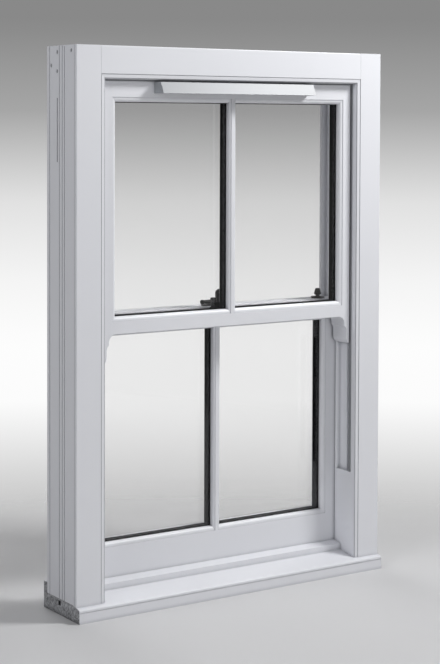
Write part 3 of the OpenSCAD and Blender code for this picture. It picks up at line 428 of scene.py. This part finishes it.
def disc(name, middle, radius, finish):
    """A flat round disc on the floor: rings of points middle + (r cos a, r sin a, 0) joined by quads."""
    rings, turns = 8, 96
    r, a = np.meshgrid(np.linspace(0.02, radius, rings), np.arange(turns) * 2 * math.pi / turns,
                       indexing="ij")
    corners = np.stack([r * np.cos(a), r * np.sin(a), 0 * r], -1).reshape(-1, 3) + middle
    faces = [(i * turns + j, (i + 1) * turns + j, (i + 1) * turns + (j + 1) % turns,
              i * turns + (j + 1) % turns) for i in range(rings - 1) for j in range(turns)]
    faces.append(tuple(range(turns)))
    return new_piece(name, corners, faces, finish, smooth=False)


floor = disc("studio_floor", FLOOR_MIDDLE, FLOOR_FADE[1], floor_finish())


def softbox(name, place, aim, size, watts, colour, mirrored):
    """A square area light at place that faces aim. It isn't seen itself, but glossy faces show it if it is
    mirrored."""
    lamp = bpy.data.lights.new(name, "AREA")
    lamp.shape, lamp.size, lamp.energy, lamp.color = "SQUARE", size, watts, srgb(colour)[:3]
    made = bpy.data.objects.new(name, lamp)
    made.location = place
    made.rotation_euler = (Vector(aim) - Vector(place)).to_track_quat("-Z", "Y").to_euler()
    made.visible_camera = made.visible_transmission = False
    made.visible_glossy = mirrored
    scene.collection.objects.link(made)
    return made


window_middle = (0.0, 0.0, 0.5 * top)
# name, place, aim, size in metres, watts, colour, whether it is mirrored
LAMPS = [
    ("key_softbox", (1.4, -1.1, 2.6), (0.3, 0.0, 1.1), 0.6, 53.0, "#ffffff", True),
    ("left_softbox", (-3.4, -1.2, 2.6), (0.0, 0.0, 1.0), 1.8, 40.0, "#fafbff", False),
    ("fill_softbox", (-0.6, -2.0, 1.0), (0.3, 0.0, 0.6), 0.8, 7.2, "#ffffff", False),
    ("room_softbox", (0.4, 2.6, 2.4), window_middle, 1.4, 22.0, "#ffffff", False),
]
for lamp in LAMPS:
    softbox(*lamp)


def studio_world():
    """Soft grey surround: a backdrop lit low down that falls off to a darker room overhead and in front,
    and a pale floor straight below."""
    world = bpy.data.worlds.new("studio_surround")
    world.use_nodes = True
    tree = world.node_tree
    tree.nodes.clear()
    way = add(tree, "TexCoord", {}).outputs["Generated"]
    height = add(tree, "SeparateXYZ", {"Vector": way}).outputs["Z"]
    share = add(tree, "MapRange", {"Value": height, "From Min": -1.0, "From Max": 1.0})
    tone = add(tree, "ValToRGB", {"Fac": share.outputs["Result"]})
    stops = tone.color_ramp.elements
    while len(stops) < len(BACKDROP):
        stops.new(0.5)
    for stop, (sine, level) in zip(stops, BACKDROP):
        stop.position, stop.color = 0.5 * (sine + 1.0), (level, level, level, 1.0)
    facing = add(tree, "VectorMath", {0: way, 1: BACKDROP_WAY}, operation="DOT_PRODUCT").outputs["Value"]
    behind = add(tree, "MapRange", {"Value": facing, "From Min": FRONT_TO_BACK[0],
                                    "From Max": FRONT_TO_BACK[1], "To Min": FRONT_SHARE, "To Max": 1.0},
                 interpolation_type="SMOOTHSTEP")
    below = add(tree, "MapRange", {"Value": height, "From Min": BELOW_TO_FRONT[0],
                                   "From Max": BELOW_TO_FRONT[1], "To Min": 1.0, "To Max": FRONT_SHARE},
                interpolation_type="SMOOTHSTEP")
    lit = add(tree, "Math", {0: behind.outputs["Result"], 1: below.outputs["Result"]}, operation="MAXIMUM")
    ground = add(tree, "Background", {"Color": tone.outputs["Color"], "Strength": lit.outputs[0]})
    add(tree, "OutputWorld", {"Surface": ground.outputs["Background"]})
    scene.world = world


studio_world()


def set_camera():
    """A long lens level with the tops of the upper panes, which looks 34 degrees to the right and 2 down."""
    lens = bpy.data.cameras.new("camera")
    lens.sensor_width = 36.0
    lens.lens = LENS
    lens.shift_y = LENS_SHIFT
    made = bpy.data.objects.new("camera", lens)
    made.location = CAMERA_PLACE
    made.rotation_euler = [math.radians(turn) for turn in CAMERA_TURN]
    scene.collection.objects.link(made)
    scene.camera = made


set_camera()
scene.view_settings.view_transform = "Standard"
